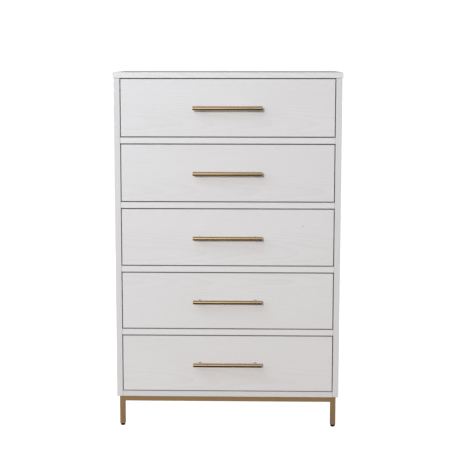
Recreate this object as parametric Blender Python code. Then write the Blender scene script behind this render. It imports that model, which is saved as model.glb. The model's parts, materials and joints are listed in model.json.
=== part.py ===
"""A tall chest of five equal drawers on a welded square-tube base.

The front faces -Y, the floor is z = 0 and the origin is the centre of the whole footprint, handles included.
Each drawer is five boards and a bar handle. Grooves in its sides run on hardwood runners screwed to the case.
"""

import math

import bmesh
import bpy
from mathutils import Matrix, Vector

# Driving dimensions, in metres
FIT_GAP = 0.0003  # between two pieces that touch
DRAWER_COUNT = 5

CASE_WIDTH = 0.807
CASE_DEPTH = 0.455
SIDE_THICKNESS = 0.021
TOP_THICKNESS = 0.0205
TOP_SIDE_OVERHANG = 0.003
TOP_FRONT_OVERHANG = 0.0025
BOTTOM_THICKNESS = 0.020
RAIL_HEIGHT = 0.022
RAIL_DEPTH = 0.070
OPENING_HEIGHT = 0.2094
BACK_THICKNESS = 0.006
BACK_RABBET_DEPTH = 0.0075  # along Y
BACK_RABBET_WIDTH = 0.009  # into the side panel
EDGE_EASE = 0.0012  # rounding on the painted boards
ROUGH_EASE = 0.0006  # rounding on the boards inside

BASE_HEIGHT = 0.113  # floor to the underside of the case
BASE_TUBE = 0.019
BASE_WALL = 0.0015
BASE_SIDE_INSET = 0.0090
BASE_END_INSET = 0.0076
LEG_END_PLATE = 0.003
TUBE_CORNER = 0.0013
TAB_LENGTH = 0.045  # along each of the two rails that meet in its corner
TAB_THICKNESS = 0.0025
TAB_DROP = 0.0002  # below the top of the rails
TAB_WELD = 0.001  # overlap with the rails
BOLT_FROM_CORNER = 0.016

FOOT_RADIUS = 0.0082
FOOT_HEIGHT = 0.0075
FOOT_ROUNDING = 0.0022
FOOT_STEM_LENGTH = 0.016

BOLT_RADIUS = 0.003  # the feet's stems have the same thread
BOLT_CLEARANCE = 0.0003
BOLT_INTO_CASE = 0.012
BOLT_HEAD_RADIUS = 0.0055
BOLT_HEAD_HEIGHT = 0.0035
BOLT_SOCKET_RADIUS = 0.0023
BOLT_SOCKET_DEPTH = 0.0020

REVEAL = 0.003  # shadow gap round a drawer front
FRONT_THICKNESS = 0.020
DRAWER_SIDE_THICKNESS = 0.014
DRAWER_SIDE_HEIGHT = 0.168
DRAWER_SIDE_LENGTH = 0.395
DRAWER_SIDE_CLEARANCE = 0.0035  # to the side panel of the case
DRAWER_SIDE_RAISE = 0.010  # above the lower edge of the front
DRAWER_BACK_THICKNESS = 0.012
DRAWER_BACK_DROP = 0.012  # below the top of the drawer sides
DRAWER_BOTTOM_THICKNESS = 0.006
BOTTOM_GROOVE_RAISE = 0.010  # above the lower edge of the drawer sides
BOTTOM_GROOVE_DEPTH = 0.005
FRONT_GROOVE_DEPTH = 0.006

RUNNER_THICKNESS = 0.0095
RUNNER_HEIGHT = 0.018
RUNNER_FRONT_SETBACK = 0.025
RUNNER_REAR_CLEARANCE = 0.002
RUNNER_GROOVE_HEIGHT = 0.019
RUNNER_GROOVE_DEPTH = 0.0075

HANDLE_LENGTH = 0.247
HANDLE_RADIUS = 0.0075
HANDLE_STANDOFF = 0.03075  # face of the front to the bar's centre line
HANDLE_END_EASE = 0.0008
POST_RADIUS = 0.005
POST_SPACING = 0.200

# Positions worked out from them
CASE_HALF = CASE_WIDTH / 2
INSIDE_HALF = CASE_HALF - SIDE_THICKNESS
FRONT_Y = (HANDLE_STANDOFF + HANDLE_RADIUS - CASE_DEPTH) / 2
REAR_Y = FRONT_Y + CASE_DEPTH
BACK_PANEL_Y = REAR_Y - BACK_RABBET_DEPTH
CASE_FLOOR_Z = BASE_HEIGHT + BOTTOM_THICKNESS
DRAWER_PITCH = OPENING_HEIGHT + RAIL_HEIGHT
CASE_TOP_Z = CASE_FLOOR_Z + DRAWER_COUNT * DRAWER_PITCH - RAIL_HEIGHT
LEG_BOTTOM_Z = FOOT_HEIGHT + FIT_GAP
BASE_TOP_Z = BASE_HEIGHT - FIT_GAP
BASE_HALF = CASE_HALF - BASE_SIDE_INSET
LEG_X = BASE_HALF - BASE_TUBE / 2
LEG_FRONT_Y = FRONT_Y + BASE_END_INSET + BASE_TUBE / 2
LEG_REAR_Y = REAR_Y - BASE_END_INSET - BASE_TUBE / 2
HOLE_RADIUS = BOLT_RADIUS + BOLT_CLEARANCE
TAB_TOP_Z = BASE_TOP_Z - TAB_DROP
BOLT_BEARING_Z = TAB_TOP_Z - TAB_THICKNESS - FIT_GAP

# Finishes: colour, roughness, metallic
PAINT = ((0.74, 0.73, 0.735), 0.55, 0.0)
BARE_WOOD = ((0.62, 0.47, 0.30), 0.6, 0.0)
PLYWOOD = ((0.66, 0.54, 0.38), 0.65, 0.0)
BRASS = ((0.52, 0.37, 0.20), 0.34, 1.0)
STEEL = ((0.42, 0.42, 0.43), 0.35, 1.0)
BLACK_NYLON = ((0.018, 0.017, 0.016), 0.5, 0.0)

BOARD_STEPS = 2
ROUND_SIDES = 20
POST_SIDES = 16
SMOOTH_ANGLE = math.radians(35)
CUTTER_REACH = 0.01  # how far a cutter runs past the face it starts from


def clear_scene():
    for thing in list(bpy.data.objects):
        bpy.data.objects.remove(thing, do_unlink=True)


def add_material(name, finish):
    colour, roughness, metallic = finish
    material = bpy.data.materials.new(name)
    material.use_nodes = True
    shader = material.node_tree.nodes["Principled BSDF"]
    shader.inputs["Base Color"].default_value = (*colour, 1.0)
    shader.inputs["Roughness"].default_value = roughness
    shader.inputs["Metallic"].default_value = metallic
    material.diffuse_color = (*colour, 1.0)
    return material


def add_empty(name, position):
    empty = bpy.data.objects.new(name, None)
    empty.empty_display_size = 0.05
    empty.location = position
    bpy.context.scene.collection.objects.link(empty)
    return empty


def add_object(name, mesh, centre, parent):
    thing = bpy.data.objects.new(name, mesh)
    bpy.context.scene.collection.objects.link(thing)
    thing.parent = parent
    thing.location = Vector(centre) - parent.location
    return thing


def add_piece(name, mesh, centre, parent, finish):
    mesh.materials.append(add_material(name + "_finish", finish))
    mesh.shade_smooth()
    mesh.set_sharp_from_angle(angle=SMOOTH_ANGLE)
    return add_object(name, mesh, centre, parent)


def add_cutter(target, name, mesh, centre, parent, operation="DIFFERENCE"):
    cutter = add_object(name, mesh, centre, parent)
    cutter.hide_render = True
    cutter.display_type = "WIRE"
    boolean = target.modifiers.new(name, "BOOLEAN")
    boolean.operation = operation
    boolean.solver = "EXACT"
    boolean.object = cutter


def add_bevel(piece, width, segments):
    bevel = piece.modifiers.new("eased_edges", "BEVEL")
    bevel.width = width
    bevel.segments = segments
    bevel.limit_method = "ANGLE"
    bevel.angle_limit = SMOOTH_ANGLE


def finish_mesh(name, shape):
    bmesh.ops.recalc_face_normals(shape, faces=shape.faces)
    mesh = bpy.data.meshes.new(name)
    shape.to_mesh(mesh)
    shape.free()
    return mesh


def box_mesh(name, size):
    shape = bmesh.new()
    bmesh.ops.create_cube(shape, size=1.0)
    bmesh.ops.scale(shape, vec=size, verts=shape.verts)
    return finish_mesh(name, shape)


def prism_mesh(name, outline, along):
    """The closed outline, a list of 3-D points, swept by the vector `along` and centred on its middle."""
    shape = bmesh.new()
    half = Vector(along) / 2
    base = shape.faces.new([shape.verts.new(Vector(point) - half) for point in outline])
    swept = bmesh.ops.extrude_face_region(shape, geom=[base])
    moved = [item for item in swept["geom"] if isinstance(item, bmesh.types.BMVert)]
    bmesh.ops.translate(shape, verts=moved, vec=along)
    return finish_mesh(name, shape)


def rod_mesh(name, radius, length, axis, sides, edges_on_axes=False):
    """A round bar along `axis`, turned by half a facet unless its edges are to lie on the main directions."""
    shape = bmesh.new()
    turn = Vector((0, 0, 1)).rotation_difference(Vector(axis)).to_matrix().to_4x4()
    if not edges_on_axes:
        turn = turn @ Matrix.Rotation(math.pi / sides, 4, "Z")
    bmesh.ops.create_cone(
        shape, cap_ends=True, segments=sides, radius1=radius, radius2=radius, depth=length, matrix=turn
    )
    return finish_mesh(name, shape)


def turned_mesh(name, profile, sides):
    """The (radius, height) profile, which starts and ends on the axis, turned about Z."""
    shape = bmesh.new()
    points = [shape.verts.new((radius, 0, height)) for radius, height in profile]
    edges = [shape.edges.new(pair) for pair in zip(points, points[1:])]
    bmesh.ops.spin(
        shape,
        geom=points + edges,
        cent=(0, 0, 0),
        axis=(0, 0, 1),
        angle=math.tau,
        steps=sides,
        use_merge=True,
    )
    bmesh.ops.remove_doubles(shape, verts=shape.verts, dist=1e-6)
    return finish_mesh(name, shape)


def add_board(name, low, high, parent, finish, ease=EDGE_EASE, segments=BOARD_STEPS):
    """A board between two opposite corners."""
    low, high = Vector(low), Vector(high)
    board = add_piece(name, box_mesh(name, high - low), (low + high) / 2, parent, finish)
    add_bevel(board, ease, segments)
    return board


def opening_z(number):
    """The lower edge of the opening that holds drawer `number`, counted from the top."""
    return CASE_FLOOR_Z + (DRAWER_COUNT - number) * DRAWER_PITCH


def make_side_panel(name, side, parent):
    """An upright board with a rabbet for the back panel along its inner rear edge. `side` is -1 or 1."""
    outline = [
        (side * CASE_HALF, FRONT_Y, 0),
        (side * INSIDE_HALF, FRONT_Y, 0),
        (side * INSIDE_HALF, BACK_PANEL_Y, 0),
        (side * (INSIDE_HALF + BACK_RABBET_WIDTH), BACK_PANEL_Y, 0),
        (side * (INSIDE_HALF + BACK_RABBET_WIDTH), REAR_Y, 0),
        (side * CASE_HALF, REAR_Y, 0),
    ]
    top_z = CASE_TOP_Z - FIT_GAP
    mesh = prism_mesh(name, outline, (0, 0, top_z - BASE_HEIGHT))
    panel = add_piece(name, mesh, (0, 0, (top_z + BASE_HEIGHT) / 2), parent, PAINT)
    add_bevel(panel, EDGE_EASE, BOARD_STEPS)


def make_case(parent):
    between = INSIDE_HALF - FIT_GAP
    top_half = CASE_HALF + TOP_SIDE_OVERHANG
    add_board(
        "top_panel",
        (-top_half, FRONT_Y - TOP_FRONT_OVERHANG, CASE_TOP_Z),
        (top_half, REAR_Y, CASE_TOP_Z + TOP_THICKNESS),
        parent,
        PAINT,
    )
    make_side_panel("left_side_panel", -1, parent)
    make_side_panel("right_side_panel", 1, parent)
    bottom = add_board(
        "bottom_panel",
        (-between, FRONT_Y, BASE_HEIGHT),
        (between, BACK_PANEL_Y, CASE_FLOOR_Z),
        parent,
        PAINT,
    )
    for name, x, y in bolt_places():
        depth = BOLT_INTO_CASE + BOLT_CLEARANCE
        mesh = rod_mesh(name + "_hole", HOLE_RADIUS, depth + CUTTER_REACH, (0, 0, 1), POST_SIDES)
        centre_z = BASE_HEIGHT + (depth - CUTTER_REACH) / 2
        add_cutter(bottom, name + "_hole_in_case", mesh, (x, y, centre_z), parent)
    back_half = INSIDE_HALF + BACK_RABBET_WIDTH - FIT_GAP
    add_board(
        "back_panel",
        (-back_half, BACK_PANEL_Y + FIT_GAP, BASE_HEIGHT + FIT_GAP),
        (back_half, BACK_PANEL_Y + FIT_GAP + BACK_THICKNESS, CASE_TOP_Z - FIT_GAP),
        parent,
        PAINT,
        ease=ROUGH_EASE,
        segments=1,
    )
    for number in range(1, DRAWER_COUNT):
        rail_z = opening_z(number) - RAIL_HEIGHT
        add_board(
            f"drawer_rail_{number}",
            (-between, FRONT_Y, rail_z),
            (between, FRONT_Y + RAIL_DEPTH, rail_z + RAIL_HEIGHT),
            parent,
            PAINT,
        )


def runner_groove_z(number):
    """The centre height of the groove in the sides of drawer `number`."""
    return opening_z(number) + REVEAL + DRAWER_SIDE_RAISE + DRAWER_SIDE_HEIGHT / 2


def make_runners(parent):
    """Hardwood strips that fill the drawer grooves and carry them by their upper faces."""
    outer = INSIDE_HALF - FIT_GAP
    inner = outer - RUNNER_THICKNESS
    front_y = FRONT_Y + RUNNER_FRONT_SETBACK
    rear_y = BACK_PANEL_Y - RUNNER_REAR_CLEARANCE
    for number in range(1, DRAWER_COUNT + 1):
        top_z = runner_groove_z(number) + RUNNER_GROOVE_HEIGHT / 2 - FIT_GAP
        for label, side in (("left", -1), ("right", 1)):
            low_x, high_x = sorted((side * inner, side * outer))
            add_board(
                f"runner_{number}_{label}",
                (low_x, front_y, top_z - RUNNER_HEIGHT),
                (high_x, rear_y, top_z),
                parent,
                BARE_WOOD,
                ease=ROUGH_EASE,
                segments=1,
            )


def corner_places():
    """(name, x, y) of each leg."""
    for end, y in (("front", LEG_FRONT_Y), ("rear", LEG_REAR_Y)):
        for label, side in (("left", -1), ("right", 1)):
            yield f"{end}_{label}", side * LEG_X, y


def inner_corners():
    """(name, x, y, inward x, inward y) of each inner corner of the ring of rails."""
    for end, y, inward_y in (("front", LEG_FRONT_Y, 1), ("rear", LEG_REAR_Y, -1)):
        for label, side in (("left", -1), ("right", 1)):
            x = side * (LEG_X - BASE_TUBE / 2)
            yield f"{end}_{label}", x, y + inward_y * BASE_TUBE / 2, -side, inward_y


def bolt_places():
    """(name, x, y) of each bolt between the base and the bottom panel."""
    for name, x, y, inward_x, inward_y in inner_corners():
        yield "base_bolt_" + name, x + inward_x * BOLT_FROM_CORNER, y + inward_y * BOLT_FROM_CORNER


def tube_frame_mesh(name, tube, leg_bottom_z, top_z):
    """Four rails in a ring with a leg under each corner, on the base's centre lines."""
    shape = bmesh.new()
    xs = [side * LEG_X + offset * tube / 2 for side in (-1, 1) for offset in (-1, 1)]
    ys = [y + offset * tube / 2 for y in (LEG_FRONT_Y, LEG_REAR_Y) for offset in (-1, 1)]
    grid = [[shape.verts.new((x, y, top_z)) for x in xs] for y in ys]
    corners = []
    ring = []
    for row in range(3):
        for column in range(3):
            if row == 1 and column == 1:
                continue
            square = (
                grid[row][column],
                grid[row][column + 1],
                grid[row + 1][column + 1],
                grid[row + 1][column],
            )
            face = shape.faces.new(square)
            ring.append(face)
            if row != 1 and column != 1:
                corners.append(face.calc_center_median().xy)
    swept = bmesh.ops.extrude_face_region(shape, geom=ring)
    lowered = [item for item in swept["geom"] if isinstance(item, bmesh.types.BMVert)]
    bmesh.ops.translate(shape, verts=lowered, vec=(0, 0, -tube))
    under = [item for item in swept["geom"] if isinstance(item, bmesh.types.BMFace)]
    for face in under:
        middle = face.calc_center_median().xy
        if all((middle - corner).length > tube / 2 for corner in corners):
            continue
        leg = bmesh.ops.extrude_discrete_faces(shape, faces=[face])["faces"][0]
        drop = leg_bottom_z - (top_z - tube)
        rim = list(leg.edges)
        bmesh.ops.translate(shape, verts=leg.verts, vec=(0, 0, drop))
        old_rim = [edge for edge in shape.edges if edge.is_boundary and edge not in rim]
        bmesh.ops.bridge_loops(shape, edges=rim + old_rim)
    return finish_mesh(name, shape)


def make_base(parent):
    """The welded frame: an outer tube shape with corner tabs, hollowed by the same shape one wall smaller."""
    outer = tube_frame_mesh("base_frame", BASE_TUBE, LEG_BOTTOM_Z, BASE_TOP_Z)
    frame = add_piece("base_frame", outer, (0, 0, 0), parent, BRASS)
    add_bevel(frame, TUBE_CORNER, BOARD_STEPS)
    for name, x, y, inward_x, inward_y in inner_corners():
        outline = [(0, 0, 0), (inward_x * TAB_LENGTH, 0, 0), (0, inward_y * TAB_LENGTH, 0)]
        tab = prism_mesh("tab_" + name, outline, (0, 0, TAB_THICKNESS))
        centre = (x - inward_x * TAB_WELD, y - inward_y * TAB_WELD, TAB_TOP_Z - TAB_THICKNESS / 2)
        add_cutter(frame, "tab_" + name, tab, centre, parent, operation="UNION")
    bore = BASE_TUBE - 2 * BASE_WALL
    hollow = tube_frame_mesh("base_bore", bore, LEG_BOTTOM_Z + LEG_END_PLATE, BASE_TOP_Z - BASE_WALL)
    add_cutter(frame, "base_bore", hollow, (0, 0, 0), parent)
    for name, x, y in corner_places():
        length = LEG_END_PLATE + CUTTER_REACH
        mesh = rod_mesh("stem_hole_" + name, HOLE_RADIUS, 2 * length, (0, 0, 1), POST_SIDES)
        add_cutter(frame, "stem_hole_" + name, mesh, (x, y, LEG_BOTTOM_Z), parent)
    for name, x, y in bolt_places():
        mesh = rod_mesh(name + "_hole", HOLE_RADIUS, 2 * CUTTER_REACH, (0, 0, 1), POST_SIDES)
        add_cutter(frame, name + "_hole_in_tab", mesh, (x, y, TAB_TOP_Z), parent)


def foot_profile():
    """A round glide with a rounded lower edge, and its threaded stem."""
    profile = [(0, 0)]
    centre = FOOT_RADIUS - FOOT_ROUNDING
    for step in range(4):
        angle = math.radians(-90 + 30 * step)
        reach = FOOT_ROUNDING * math.cos(angle)
        profile.append((centre + reach, FOOT_ROUNDING + FOOT_ROUNDING * math.sin(angle)))
    stem_top = FOOT_HEIGHT + FOOT_STEM_LENGTH
    profile += [
        (FOOT_RADIUS, FOOT_HEIGHT - ROUGH_EASE),
        (FOOT_RADIUS - ROUGH_EASE, FOOT_HEIGHT),
        (BOLT_RADIUS, FOOT_HEIGHT),
        (BOLT_RADIUS, stem_top - ROUGH_EASE),
        (BOLT_RADIUS - ROUGH_EASE, stem_top),
        (0, stem_top),
    ]
    return profile


def make_feet(parent):
    for name, x, y in corner_places():
        mesh = turned_mesh("foot_" + name, foot_profile(), ROUND_SIDES)
        add_piece("foot_" + name, mesh, (x, y, 0), parent, BLACK_NYLON)


def bolt_profile():
    """A button-head bolt, head down, with its bearing face at height 0."""
    length = BASE_HEIGHT + BOLT_INTO_CASE - BOLT_BEARING_Z
    return [
        (0, -BOLT_HEAD_HEIGHT),
        (BOLT_HEAD_RADIUS * 0.62, -BOLT_HEAD_HEIGHT),
        (BOLT_HEAD_RADIUS * 0.88, -BOLT_HEAD_HEIGHT * 0.72),
        (BOLT_HEAD_RADIUS, -BOLT_HEAD_HEIGHT * 0.30),
        (BOLT_HEAD_RADIUS, 0),
        (BOLT_RADIUS, 0),
        (BOLT_RADIUS, length - ROUGH_EASE),
        (BOLT_RADIUS - ROUGH_EASE, length),
        (0, length),
    ]


def make_base_bolts(parent):
    for name, x, y in bolt_places():
        mesh = turned_mesh(name, bolt_profile(), ROUND_SIDES)
        bolt = add_piece(name, mesh, (x, y, BOLT_BEARING_Z), parent, STEEL)
        socket = rod_mesh(name + "_socket", BOLT_SOCKET_RADIUS, 2 * BOLT_SOCKET_DEPTH, (0, 0, 1), 6)
        add_cutter(bolt, name + "_socket", socket, (x, y, BOLT_BEARING_Z - BOLT_HEAD_HEIGHT), parent)


def make_drawer_front(prefix, bottom_z, groove_z, parent):
    """The painted front, with a stopped groove in its back for the drawer bottom."""
    half = INSIDE_HALF - REVEAL
    front = add_board(
        prefix + "_front",
        (-half, FRONT_Y, bottom_z),
        (half, FRONT_Y + FRONT_THICKNESS, bottom_z + OPENING_HEIGHT - 2 * REVEAL),
        parent,
        PAINT,
    )
    groove_height = DRAWER_BOTTOM_THICKNESS + 2 * FIT_GAP
    groove_width = 2 * (drawer_inside_half() + BOTTOM_GROOVE_DEPTH)
    groove_size = (groove_width, FRONT_GROOVE_DEPTH + CUTTER_REACH, groove_height)
    groove = box_mesh(prefix + "_front_groove", groove_size)
    centre_y = FRONT_Y + FRONT_THICKNESS + (CUTTER_REACH - FRONT_GROOVE_DEPTH) / 2
    centre = (0, centre_y, groove_z + groove_height / 2)
    add_cutter(front, prefix + "_front_groove", groove, centre, parent)


def drawer_outside_half():
    return INSIDE_HALF - DRAWER_SIDE_CLEARANCE


def drawer_inside_half():
    return drawer_outside_half() - DRAWER_SIDE_THICKNESS


def make_drawer_side(name, side, bottom_z, runner_z, parent):
    """A side with the runner groove outside and the bottom panel's groove inside. `side` is -1 or 1."""
    outer, inner = drawer_outside_half(), drawer_inside_half()
    groove_floor = outer - RUNNER_GROOVE_DEPTH
    bottom_groove_floor = inner + BOTTOM_GROOVE_DEPTH
    runner_low = runner_z - RUNNER_GROOVE_HEIGHT / 2
    runner_high = runner_z + RUNNER_GROOVE_HEIGHT / 2
    panel_low = bottom_z + BOTTOM_GROOVE_RAISE
    panel_high = panel_low + DRAWER_BOTTOM_THICKNESS + 2 * FIT_GAP
    top_z = bottom_z + DRAWER_SIDE_HEIGHT
    middle_z = (bottom_z + top_z) / 2
    section = [
        (outer, bottom_z),
        (outer, runner_low),
        (groove_floor, runner_low),
        (groove_floor, runner_high),
        (outer, runner_high),
        (outer, top_z),
        (inner, top_z),
        (inner, panel_high),
        (bottom_groove_floor, panel_high),
        (bottom_groove_floor, panel_low),
        (inner, panel_low),
        (inner, bottom_z),
    ]
    outline = [(side * (x - inner), 0, z - middle_z) for x, z in section]
    mesh = prism_mesh(name, outline, (0, DRAWER_SIDE_LENGTH, 0))
    centre_y = FRONT_Y + FRONT_THICKNESS + FIT_GAP + DRAWER_SIDE_LENGTH / 2
    board = add_piece(name, mesh, (side * inner, centre_y, middle_z), parent, BARE_WOOD)
    add_bevel(board, ROUGH_EASE, 1)


def make_handle(name, centre_z, parent):
    """A straight round bar on two posts, in one piece."""
    bar_y = FRONT_Y - HANDLE_STANDOFF
    bar = rod_mesh(name, HANDLE_RADIUS, HANDLE_LENGTH, (1, 0, 0), ROUND_SIDES, edges_on_axes=True)
    handle = add_piece(name, bar, (0, bar_y, centre_z), parent, BRASS)
    add_bevel(handle, HANDLE_END_EASE, BOARD_STEPS)
    length = HANDLE_STANDOFF - FIT_GAP
    for label, side in (("left", -1), ("right", 1)):
        post = rod_mesh(f"{name}_post_{label}", POST_RADIUS, length, (0, 1, 0), POST_SIDES)
        centre = (side * POST_SPACING / 2, bar_y + length / 2, centre_z)
        add_cutter(handle, f"{name}_post_{label}", post, centre, parent, operation="UNION")


def make_drawer(number):
    prefix = f"drawer_{number}"
    front_z = opening_z(number) + REVEAL
    centre_z = front_z + OPENING_HEIGHT / 2 - REVEAL
    slide = add_empty(prefix + "_slide", (0, FRONT_Y, centre_z))
    side_z = front_z + DRAWER_SIDE_RAISE
    groove_z = side_z + BOTTOM_GROOVE_RAISE
    panel_z = groove_z + FIT_GAP
    back_low_z = panel_z + DRAWER_BOTTOM_THICKNESS + FIT_GAP
    back_top_z = side_z + DRAWER_SIDE_HEIGHT - DRAWER_BACK_DROP
    rear_y = FRONT_Y + FRONT_THICKNESS + FIT_GAP + DRAWER_SIDE_LENGTH
    inner = drawer_inside_half()
    make_drawer_front(prefix, front_z, groove_z, slide)
    make_drawer_side(prefix + "_left_side", -1, side_z, runner_groove_z(number), slide)
    make_drawer_side(prefix + "_right_side", 1, side_z, runner_groove_z(number), slide)
    add_board(
        prefix + "_back",
        (-inner + FIT_GAP, rear_y - DRAWER_BACK_THICKNESS, back_low_z),
        (inner - FIT_GAP, rear_y, back_top_z),
        slide,
        BARE_WOOD,
        ease=ROUGH_EASE,
        segments=1,
    )
    panel_half = inner + BOTTOM_GROOVE_DEPTH - FIT_GAP
    panel_front_y = FRONT_Y + FRONT_THICKNESS - FRONT_GROOVE_DEPTH + FIT_GAP
    add_board(
        prefix + "_bottom",
        (-panel_half, panel_front_y, panel_z),
        (panel_half, rear_y, panel_z + DRAWER_BOTTOM_THICKNESS),
        slide,
        PLYWOOD,
        ease=ROUGH_EASE / 2,
        segments=1,
    )
    make_handle(prefix + "_handle", centre_z, slide)


def main():
    clear_scene()
    case = add_empty("carcass", (0, 0, 0))
    make_case(case)
    make_runners(case)
    make_base(case)
    make_feet(case)
    make_base_bolts(case)
    for number in range(1, DRAWER_COUNT + 1):
        make_drawer(number)


main()
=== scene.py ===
import json
import math
import random

import bmesh
import bpy
from mathutils import Matrix, Vector

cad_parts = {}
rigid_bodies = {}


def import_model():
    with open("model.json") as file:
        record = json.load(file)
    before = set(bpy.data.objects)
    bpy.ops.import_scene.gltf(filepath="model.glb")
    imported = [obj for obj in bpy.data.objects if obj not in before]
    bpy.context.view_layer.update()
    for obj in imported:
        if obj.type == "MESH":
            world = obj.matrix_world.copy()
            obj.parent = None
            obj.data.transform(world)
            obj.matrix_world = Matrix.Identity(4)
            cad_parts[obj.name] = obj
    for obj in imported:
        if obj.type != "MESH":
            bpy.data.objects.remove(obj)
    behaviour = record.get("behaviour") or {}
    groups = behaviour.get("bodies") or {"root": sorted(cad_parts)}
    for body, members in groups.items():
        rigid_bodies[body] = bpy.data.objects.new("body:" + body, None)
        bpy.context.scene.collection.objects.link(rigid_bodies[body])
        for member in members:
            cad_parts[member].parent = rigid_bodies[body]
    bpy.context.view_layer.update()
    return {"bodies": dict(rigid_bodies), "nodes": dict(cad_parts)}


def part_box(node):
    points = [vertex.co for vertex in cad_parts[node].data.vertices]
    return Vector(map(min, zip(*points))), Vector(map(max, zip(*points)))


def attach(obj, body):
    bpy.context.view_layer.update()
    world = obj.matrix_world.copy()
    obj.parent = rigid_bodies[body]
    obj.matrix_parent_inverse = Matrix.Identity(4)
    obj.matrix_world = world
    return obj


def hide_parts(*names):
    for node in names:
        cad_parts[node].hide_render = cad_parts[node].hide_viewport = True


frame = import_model()
cadNodes = frame["nodes"]
drawerCount = sum(1 for body in frame["bodies"] if body.startswith("drawer_"))
print("Frame loaded:", len(cadNodes), "pieces,", drawerCount, "drawers")

cameraView = {
    "frontDistance": 4.349,  # from the faces of the drawers
    "sideways": 0.0998,
    "height": 1.3353,
    "turnLeft": 1.437,  # degrees
    "tiltDown": 7.719,
    "roll": 0.019,
    "lens": 98.06,  # on a 36 mm wide sensor
}


def linkObject(name, data):
    thing = bpy.data.objects.new(name, data)
    bpy.context.scene.collection.objects.link(thing)
    return thing


def makeCamera(view):
    data = bpy.data.cameras.new("camera")
    data.lens = view["lens"]
    data.sensor_width = 36
    data.clip_start = 0.05
    data.clip_end = 200
    camera = linkObject("camera", data)
    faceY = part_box("drawer_1_front")[0].y
    camera.location = (view["sideways"], faceY - view["frontDistance"], view["height"])
    turn = Matrix.Rotation(math.radians(view["turnLeft"]), 4, "Z")
    tilt = Matrix.Rotation(math.radians(90 - view["tiltDown"]), 4, "X")
    roll = Matrix.Rotation(math.radians(view["roll"]), 4, "Z")
    camera.rotation_euler = (turn @ tilt @ roll).to_euler()
    bpy.context.scene.camera = camera


makeCamera(cameraView)
bpy.context.scene.view_settings.view_transform = "Standard"
bpy.context.scene.view_settings.look = "None"


def addNode(tree, kind, **settings):
    node = tree.nodes.new("ShaderNode" + kind)
    for name, value in settings.items():
        setattr(node, name, value)
    return node


def feed(tree, socket, value):
    # value is another node's output, or a plain number, vector or colour
    if isinstance(value, bpy.types.NodeSocket):
        tree.links.new(value, socket)
    else:
        socket.default_value = value


def feedAll(tree, inputs, values):
    for name, value in values.items():
        feed(tree, inputs[name], value)


def feedNode(tree, kind, values, **settings):
    # a new node with its first inputs fed in order
    node = addNode(tree, kind, **settings)
    for socket, value in zip(node.inputs, values):
        feed(tree, socket, value)
    return node.outputs


def calc(tree, operation, *values):
    return feedNode(tree, "Math", values, operation=operation)[0]


def calcVector(tree, operation, a, b, result="Vector"):
    return feedNode(tree, "VectorMath", (a, b), operation=operation)[result]


def axesOf(tree, vector):
    return feedNode(tree, "SeparateXYZ", [vector])


def mixColors(tree, factor, a, b):
    node = addNode(tree, "Mix", data_type="RGBA")
    feed(tree, node.inputs[0], factor)
    for socket, value in zip(node.inputs[6:8], (a, b)):
        feed(tree, socket, value if isinstance(value, bpy.types.NodeSocket) else (*value[:3], 1))
    return node.outputs[2]


def glaze(tree, color, tone, mask, share):
    # lays the tone over the colour where the mask is, and by no more than its share
    return mixColors(tree, calc(tree, "MULTIPLY", mask, share), color, tone)


def remap(tree, value, fromLow, fromHigh, toLow=0.0, toHigh=1.0):
    values = (value, fromLow, fromHigh, toLow, toHigh)
    return feedNode(tree, "MapRange", values, interpolation_type="SMOOTHSTEP")[0]


def noise(tree, vector, scale=1.0, detail=2.0, roughness=0.5, distortion=0.0):
    node = addNode(tree, "TexNoise")
    names = ("Vector", "Scale", "Detail", "Roughness", "Distortion")
    values = (vector, scale, detail, roughness, distortion)
    feedAll(tree, node.inputs, dict(zip(names, values)))
    return node.outputs[0]


def drawnNoise(tree, place, stretch, detail, roughness=0.5):
    stretched = calcVector(tree, "MULTIPLY", place, stretch)
    return noise(tree, stretched, detail=detail, roughness=roughness)


def ramp(tree, value, stops):
    node = addNode(tree, "ValToRGB")
    elements = node.color_ramp.elements
    while len(elements) < len(stops):
        elements.new(0.5)
    for element, (position, level) in zip(elements, stops):
        element.position = position
        element.color = (level, level, level, 1)
    feed(tree, node.inputs[0], value)
    return node.outputs["Color"]


def newGroup(name, inputs, outputs):
    group = bpy.data.node_groups.new(name, "ShaderNodeTree")
    for label, (kind, value) in inputs.items():
        socket = group.interface.new_socket(label, in_out="INPUT", socket_type="NodeSocket" + kind)
        socket.default_value = value
    for label, kind in outputs.items():
        group.interface.new_socket(label, in_out="OUTPUT", socket_type="NodeSocket" + kind)
    start = group.nodes.new("NodeGroupInput")
    end = group.nodes.new("NodeGroupOutput")
    return group, start.outputs, end.inputs


def placeGroup(tree, group, values):
    node = tree.nodes.new("ShaderNodeGroup")
    node.node_tree = group
    feedAll(tree, node.inputs, values)
    return node.outputs


def bumpNormal(tree, height, depth, strength, normal=None):
    node = addNode(tree, "Bump")
    node.inputs["Distance"].default_value = depth
    node.inputs["Strength"].default_value = strength
    feed(tree, node.inputs["Height"], height)
    if normal is not None:
        feed(tree, node.inputs["Normal"], normal)
    return node.outputs["Normal"]


def softEdges(tree, radius):
    node = addNode(tree, "Bevel", samples=6)
    feed(tree, node.inputs["Radius"], radius)
    return node.outputs["Normal"]


def roughBetween(tree, mask, limits):
    low, high = limits
    return calc(tree, "MULTIPLY_ADD", mask, high - low, low)


def newMaterial(name):
    material = bpy.data.materials.new(name)
    material.use_nodes = True
    tree = material.node_tree
    return material, tree, tree.nodes["Principled BSDF"]


def finishShader(tree, shader, color, rough, normal, gloss):
    values = {"Base Color": color, "Roughness": rough, "Normal": normal, **gloss}
    feedAll(tree, shader.inputs, values)


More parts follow.
